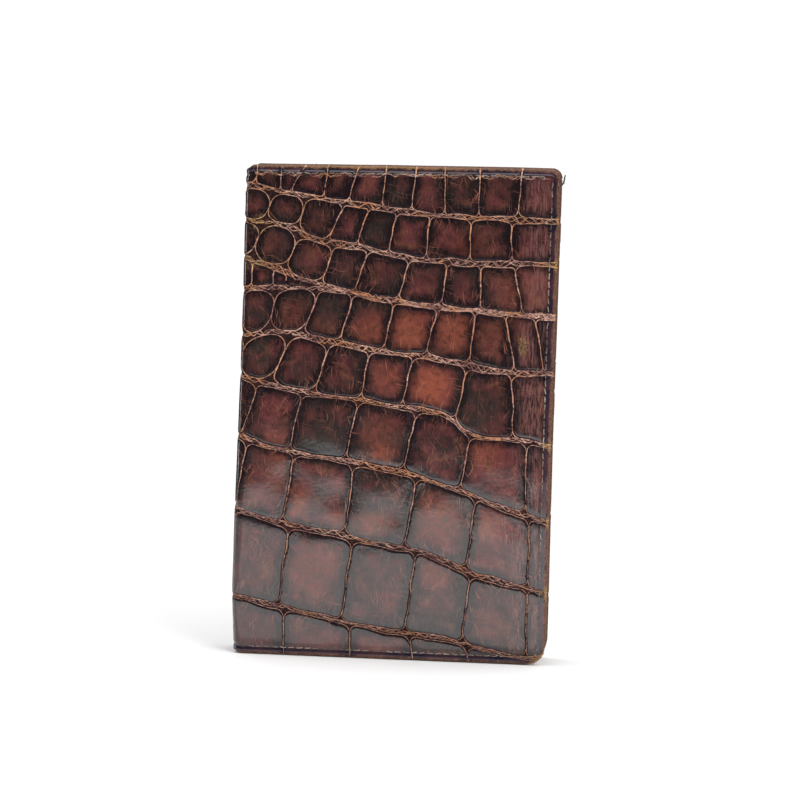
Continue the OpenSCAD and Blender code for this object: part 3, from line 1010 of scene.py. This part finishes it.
def hide_material():
    m = Material("crocodile_hide", Specular_IOR_Level=0.06, Coat_IOR=1.6, Coat_Roughness=0.1)
    at = m.flat()
    gap = m.attribute("gap")
    edge = m.attribute("edge")
    rubbed = m.attribute("rubbed")
    hue = m.noise(at, 0.17, 3, 0.6, 0.8)
    broad = m.noise(at, 0.07, 3, 0.6, 0.5)
    cloud = m.noise(at, 0.25, 4, 0.6, 0.6)
    mottle = m.noise(at, 0.8, 6, 0.68, 0.4)
    speck = m.noise(at, 1.8, 6, 0.85, 0.5)
    streak = m.noise(m.stretch(at, (2.4, 0.3, 1)), 1.0, 6, 0.7)
    hair = m.noise(m.stretch(at, (6, 0.9, 1)), 1.0, 4, 0.65)

    # a scale, from nearly black to red brown
    amount = m.total(
        (m.attribute("tone"), 0.14), (cloud, 0.55), (mottle, 0.3),
        (m.span(gap, 0.4, 3.2, -0.04, 0.12), 1),
    )
    dark = m.mix(m.span(broad, 0.42, 0.58), (0.009, 0.003, 0.004), (0.012, 0.008, 0.006))
    light = m.mix(m.span(hue, 0.48, 0.66), (0.098, 0.023, 0.025), (0.125, 0.044, 0.028))
    cool = m.times(m.span(hue, 0.5, 0.38), m.span(mottle, 0.35, 0.6, 0.2, 0.8))
    shaded = m.times(m.attribute("shaded"), m.span(cloud, 0.35, 0.6, 1.1, 0.5))
    warm = m.times(m.attribute("warm"), m.span(mottle, 0.3, 0.6, 0.35, 1.1))
    # burnished streaks beside the free edge
    burnish = m.times(
        m.span(m.attribute("flat_u"), 60, 65), m.span(m.attribute("seam"), 0.1, 1.2)
    )
    burnish = m.times(burnish, m.span(streak, 0.42, 0.6, 0, 0.8))
    ragged = m.plus(gap, m.span(m.noise(at, 0.4, 2, 0.5), 0.35, 0.65, -0.3, 0.3))
    body = m.layers(
        m.mix(m.span(amount, 0.43, 0.77), dark, light),
        (cool, (0.026, 0.015, 0.013)),
        (m.least(shaded, 0.9), (0.012, 0.013, 0.011)),
        (m.span(streak, 0.5, 0.72, 0, 0.5), (0.13, 0.052, 0.043)),
        (m.span(hair, 0.5, 0.7, 0, 0.65), (0.007, 0.004, 0.005)),
        (m.least(warm, 0.95), (0.20, 0.052, 0.030)),
        (m.span(hair, 0.5, 0.72, 0, 0.4), (0.03, 0.01, 0.008)),
        (burnish, (0.14, 0.062, 0.058)),
        (m.span(ragged, -0.1, 2.1, 0.95, 0.0), (0.004, 0.002, 0.004)),  # a scale's dark rim
    )
    gold = m.total((rubbed, 0.5), (speck, 1))
    body = m.layers(
        scratched(m, at, body),
        (m.span(gold, 0.84, 1.02, 0, 0.8), (0.30, 0.19, 0.08)),
        (m.span(speck, 0.65, 0.73, 0, 0.65), (0.26, 0.13, 0.09)),
    )

    # furrows, then the turned edge: dark glaze outside the seam, and worn tan past it
    pits = m.noise(at, 1.5, 4, 0.75)
    furrow_tone = m.mix(m.span(pits, 0.45, 0.7), (0.008, 0.004, 0.005), (0.07, 0.026, 0.021))
    glaze = m.times(m.span(edge, -1.1, -0.8), m.span(edge, 0.1, -0.2))
    glaze_tone = m.mix(m.span(cloud, 0.42, 0.58), (0.009, 0.008, 0.018), (0.026, 0.013, 0.022))
    rubbed_edge = m.plus(edge, m.span(mottle, 0.3, 0.7, -0.4, 0.4))
    worn = m.mix(m.span(speck, 0.4, 0.62), (0.045, 0.020, 0.016), (0.19, 0.105, 0.068))
    worn = m.mix(m.times(rubbed, 0.6, clamp=True), worn, (0.28, 0.15, 0.05))
    colour = m.layers(
        body,
        (m.span(gap, 0.08, -0.1), furrow_tone),
        (m.times(glaze, 0.85), glaze_tone),
        (m.span(rubbed_edge, -0.1, 0.4, 0.0, 0.9), worn),
    )

    # glazed on the scales and dull everywhere else
    shoulder = m.plus(gap, m.span(m.attribute("flat_z"), 48, 34, 0, 0.2))
    dull = m.most(m.span(shoulder, 0.55, 0.32), m.span(edge, -0.2, 0.2, 0, 0.9))
    worn_glaze = m.times(m.span(speck, 0.6, 0.7, 1, 0.4), m.span(mottle, 0.3, 0.6, 1, 0.8))
    grain = m.total((m.noise(at, 2.2, 5, 0.7), 0.6), (hair, 0.4))
    m.to_shader(
        Base_Color=colour, Roughness=m.span(mottle, 0.3, 0.7, 0.42, 0.62),
        Coat_Weight=m.times(m.minus(1.0, dull), worn_glaze), Normal=m.bump(grain, 0.5, 0.1),
        Coat_Normal=m.bump(m.noise(at, 1.2, 3, 0.5), 0.5, 0.02),
    )
    return m.material


def ridge_material():
    m = Material("worn_ridges")
    at = m.flat()
    fast = m.noise(at, 1.6, 5, 0.75)
    tone = m.total((m.noise(at, 0.2, 3, 0.6), 0.6), (fast, 0.5))
    gold = m.times(m.attribute("rubbed"), m.span(fast, 0.35, 0.6, 0.2, 1.1))
    colour = m.layers(
        m.mix(m.span(tone, 0.42, 0.72), (0.16, 0.048, 0.042), (0.72, 0.42, 0.30)),
        (m.span(m.noise(at, 0.13, 3, 0.6), 0.47, 0.6, 0, 0.75), (0.50, 0.21, 0.085)),
        (m.span(gold, 0.1, 0.8, 0, 0.8), (0.50, 0.30, 0.10)),
        (m.span(fast, 0.52, 0.38, 0, 0.85), (0.022, 0.009, 0.010)),
        # painted light: below 48 mm the ridges are mixed towards a dull grey brown, for the greyer
        # look that the mirrored floor gives the lower part
        (m.span(m.attribute("flat_z"), 48, 25, 0, 0.3), (0.12, 0.055, 0.05)),
    )
    m.to_shader(
        Base_Color=colour, Roughness=m.span(fast, 0.3, 0.7, 0.45, 0.6),
        Normal=m.bump(fast, 0.5, 0.1),
    )
    return m.material


def thread_material(name, dark, light):
    m = Material(name, Roughness=0.6)
    at = m.add("TexCoord", output="Object")
    colour = m.mix(m.span(m.noise(at, 220, 3, 0.6), 0.35, 0.7), dark, light)
    m.to_shader(Base_Color=colour, Normal=m.bump(m.noise(at, 2600, 2, 0.6), 0.6, 0.06))
    return m.material


def calf_material(name, dark, light, grain_size):
    m = Material(name, Specular_IOR_Level=0.25)
    at = m.flat()
    cloud = m.noise(at, 0.05, 5, 0.6, 1.0)
    fine = m.noise(at, 1.1, 5, 0.7)
    shade = m.total((cloud, 0.6), (fine, 0.4))
    handled = m.times(m.span(cloud, 0.5, 0.62), m.span(fine, 0.5, 0.6, 0, 0.18))
    colour = m.layers(
        m.mix(m.span(shade, 0.22, 0.78), dark, light),
        (m.span(m.attribute("border"), 0.6, 0.0, 0, 0.7), [c * 0.35 for c in dark]),
        (handled, [c * 1.7 for c in light]),
    )
    pores = m.add(
        "TexVoronoi", {"Vector": at, "Scale": grain_size, "Randomness": 1.0},
        feature="SMOOTH_F1",
    )
    crease = m.noise(m.stretch(at, (0.4, 1.6, 1), 0.5), 0.8, 4, 0.6)
    m.to_shader(
        Base_Color=colour, Roughness=m.span(fine, 0.3, 0.7, 0.42, 0.58),
        Normal=m.bump(m.total((pores, 0.6), (crease, 0.5)), 0.55, 0.12),
    )
    return m.material


def silk_material():
    m = Material("silk", Roughness=0.42, Sheen_Weight=0.4, Sheen_Roughness=0.4)
    at = m.flat()
    ribs, weft = (
        m.add(
            "TexWave", {"Vector": at, "Scale": scale, "Distortion": wander, "Detail": detail},
            wave_type="BANDS", bands_direction=direction,
        )
        for scale, wander, detail, direction in ((1.1, 0.4, 2.0, "Y"), (2.2, 0.3, 1.0, "X"))
    )
    watered = m.noise(m.stretch(at, (0.15, 0.6, 1)), 1.0, 4, 0.6, 1.5)
    colour = m.mix(m.span(watered, 0.35, 0.65), (0.12, 0.085, 0.04), (0.27, 0.20, 0.10))
    colour = m.mix(m.times(ribs, 0.3), colour, (0.08, 0.055, 0.03))
    m.to_shader(Base_Color=colour, Normal=m.bump(m.total((ribs, 1), (weft, 0.5)), 0.5, 0.08))
    return m.material


def card_material():
    m = Material("card_stiffener", Roughness=0.85)
    at = m.add("TexCoord", output="Object")
    fibre = m.noise(at, 900, 4, 0.7)
    stain = m.span(m.noise(at, 60, 3, 0.6), 0.45, 0.75, 0, 0.5)
    colour = m.mix(fibre, (0.40, 0.31, 0.20), (0.58, 0.49, 0.35))
    m.to_shader(
        Base_Color=m.mix(stain, colour, (0.30, 0.22, 0.13)), Normal=m.bump(fibre, 0.4, 0.05)
    )
    return m.material


# ------------ the pieces

hide = hide_material()
ridges = ridge_material()
thread = thread_material("thread", (0.07, 0.045, 0.04), (0.30, 0.25, 0.21))
soiled_thread = thread_material("soiled_thread", (0.016, 0.010, 0.009), (0.05, 0.032, 0.027))
lining_calf = calf_material("lining_calf", (0.11, 0.040, 0.018), (0.25, 0.105, 0.050), 1.5)
pocket_calf = calf_material("pocket_calf", (0.085, 0.028, 0.014), (0.20, 0.080, 0.040), 2.2)
silk = silk_material()
card = card_material()


def panel_box(node, side):
    """A flat CAD node's low and high corner as (u, z), and its two depths."""
    low, high = node_box(node)
    near, far = sorted(OUTER_Y - side * y for y in (low[1], high[1]))
    return (low[0] - SPINE_X, low[2]), (high[0] - SPINE_X, high[2]), (near, far)


def bend_at_crease(piece, side):
    """Bakes the piece's transform into its mesh, the same at the front and the back crease."""
    if side == FRONT:
        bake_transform(piece)
    else:
        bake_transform(piece)


def settle(piece, slot, *nodes, rides=None, bends=None):
    """Attaches a piece to its body, or else bakes its transform, and hides the CAD nodes it stands
    for. The slot is not used.
    """
    if rides:
        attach(piece, rides)
    else:
        bend_at_crease(piece, bends)
    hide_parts(*nodes)


front_hide = hide_piece(FRONT, "front_hide", [hide, ridges])
settle(front_hide, "crocodile_hide", "front_cover_leather", "spine_leather", bends=FRONT)
back_hide = hide_piece(BACK, "back_hide", [hide, ridges])
settle(back_hide, "crocodile_hide", "back_cover_leather", bends=BACK)
front_seam = seam_piece(FRONT, "front_edge_seam", [thread, soiled_thread])
settle(front_seam, "thread", "front_edge_stitching", rides="front")
back_seam = seam_piece(BACK, "back_edge_seam", [thread])
settle(back_seam, "thread", "back_edge_stitching", rides="back")

for side, body in ((FRONT, "front"), (BACK, "back")):
    sheet = leather_sheet(
        body + "_inner_lining", side, (MID_U, LINING_INSET),
        (CASE_W - LINING_INSET, CASE_H - LINING_INSET), (LINING_D, LINED_D), lining_calf,
        seam=SEAM_INSET - LINING_INSET, open_left=True,
    )
    nodes_for = [body + "_lining"] + (["spine_lining"] if side == FRONT else [])
    settle(sheet, "lining_calf", *nodes_for, bends=side)


def pocket(name, side, body, thickness=None, open_top=False):
    """A pocket's panel and the seam that holds it. Gives the panel's box and depths.

    The panel is as thick as its CAD node, unless a thickness is given.
    """
    low, high, (outer, inner) = panel_box(name + "_panel", side)
    if thickness:
        outer = inner - thickness
    panel = leather_sheet(
        name + "_leather", side, low, high, (outer, inner), pocket_calf, seam=PANEL_SEAM,
        thumb=not open_top, open_top=open_top,
    )
    settle(panel, "pocket_calf", name + "_panel", rides=body)
    right, bottom = high[0] - PANEL_SEAM, low[1] + PANEL_SEAM
    left = low[0] + (PANEL_SEAM if open_top else MOUTH_SEAM)
    top = high[1] - (MOUTH_SEAM if open_top else PANEL_SEAM)
    corners = [(left, top), (left, bottom), (right, bottom), (right, top)]
    if not open_top:
        corners = corners[1:] + corners[:1]
    builder = Builder()
    add_stitches(builder, stitch_places(*corners), inner_face(inner - SEAM_DEEP, side))
    seam = builder.make(name + "_seam", [thread])
    settle(seam, "thread", name + "_stitching", rides=body)
    return low, high, (outer, inner)


pocket("slip_pocket", FRONT, "front", thickness=0.6)
pocket("stamp_pocket", FRONT, "front", thickness=0.5, open_top=True)
card_low, card_high, card_depths = pocket("card_pocket", BACK, "back")
facing_low, facing_high, facing_depths = panel_box("card_pocket_facing", BACK)
facing = leather_sheet(
    "card_pocket_silk", BACK, facing_low, facing_high, facing_depths, silk, thumb=True,
)
settle(facing, "silk", "card_pocket_facing", rides="back")
for which in ("top", "bottom", "side"):
    gusset = gusset_piece(
        "card_gusset_" + which, which, card_low, card_high, (LINED_D, card_depths[0]), lining_calf
    )
    settle(gusset, "lining_calf", "card_pocket_gusset_" + which, rides="back")
for node in ("front_stiffener", "back_stiffener"):
    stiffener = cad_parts[node]
    stiffener.data.materials.clear()
    stiffener.data.materials.append(card)

# ------------ stage, light and camera

FLOOR_R = 0.37  # in metres
WHITE = (1, 1, 1)
BACKDROP_STRENGTH = 1.05

bpy.ops.mesh.primitive_circle_add(vertices=96, radius=FLOOR_R, fill_type="NGON")
floor = bpy.context.object
floor.name = "floor"
floor_material = Material("floor", Roughness=0.35, Base_Color=(0.86, 0.86, 0.86, 1))
floor.data.materials.append(floor_material.material)

# The room gets lighter upwards, and the camera sees plain white behind the case
world = bpy.data.worlds.new("studio")
bpy.context.scene.world = world
world.use_nodes = True
world.node_tree.nodes.clear()
w = Nodes(world.node_tree)
rise = w.add("SeparateXYZ", {0: w.add("TexCoord", output="Generated")}, output="Z")
studio = w.add("Background", {"Color": WHITE, "Strength": w.span(rise, 0.45, 0.9, 0.01, 2.9)})
backdrop = w.add("Background", {"Color": WHITE, "Strength": BACKDROP_STRENGTH})
seen = w.add("LightPath", output="Is Camera Ray")
w.add("OutputWorld", {0: w.add("MixShader", {0: seen, 1: studio, 2: backdrop})}, output=None)


def softbox(name, size, power):
    """A rectangular light, as (width, height) in metres."""
    light = bpy.data.lights.new(name, "AREA")
    light.shape = "RECTANGLE"
    light.size, light.size_y = size
    light.energy = power
    return add_object(name, light)


def direction(turn, rise):
    """The direction that is turned to the right of straight in front, and raised."""
    return Vector((
        math.sin(turn) * math.cos(rise), -math.cos(turn) * math.cos(rise), math.sin(rise)
    ))


CASE_MIDDLE = Vector((0, 0, CASE_H / 2 * MM))
for name, turn, rise, distance, size, power in (
    ("key", 34, 32, 1.1, (0.5, 0.5), 7),
    ("left_strip", -105, 8, 0.9, (0.08, 0.7), 1.5),
):
    lamp = softbox(name, size, power)
    away = direction(math.radians(turn), math.radians(rise))
    lamp.location = CASE_MIDDLE + away * distance
    lamp.rotation_euler = away.to_track_quat("Z", "Y").to_euler()

# a soft light lying in front of the case, which the glaze of its lower part mirrors
card_light = softbox("card", (0.24, 0.34), 0.25)
card_light.location = (0.01, -0.195, 0.001)
card_light.rotation_euler = (math.pi, 0, 0)
card_light.visible_camera = False

# The camera: where it stands round the case, and how it is rolled
camera_turn, camera_rise, camera_roll = (math.radians(a) for a in (3.84, 4.38, 1.9))
CAMERA_DISTANCE = 1.0
CAMERA_LENS = 200.9
AIM_RIGHT, AIM_UP = 0.0006, 0.0026  # from the case's middle, in metres

back_way = direction(camera_turn, camera_rise)
level_right = (-back_way).cross(Vector((0, 0, 1))).normalized()
level_up = level_right.cross(-back_way)
right = level_right * math.cos(camera_roll) + level_up * math.sin(camera_roll)
up = level_up * math.cos(camera_roll) - level_right * math.sin(camera_roll)
eye = CASE_MIDDLE + right * AIM_RIGHT + up * AIM_UP + back_way * CAMERA_DISTANCE
camera_data = bpy.data.cameras.new("camera")
camera_data.lens = CAMERA_LENS
camera = add_object("camera", camera_data)
camera.matrix_world = (
    Matrix.Translation(eye) @ Matrix((right, up, back_way)).transposed().to_4x4()
)
bpy.context.scene.camera = camera
bpy.context.scene.view_settings.view_transform = "Standard"
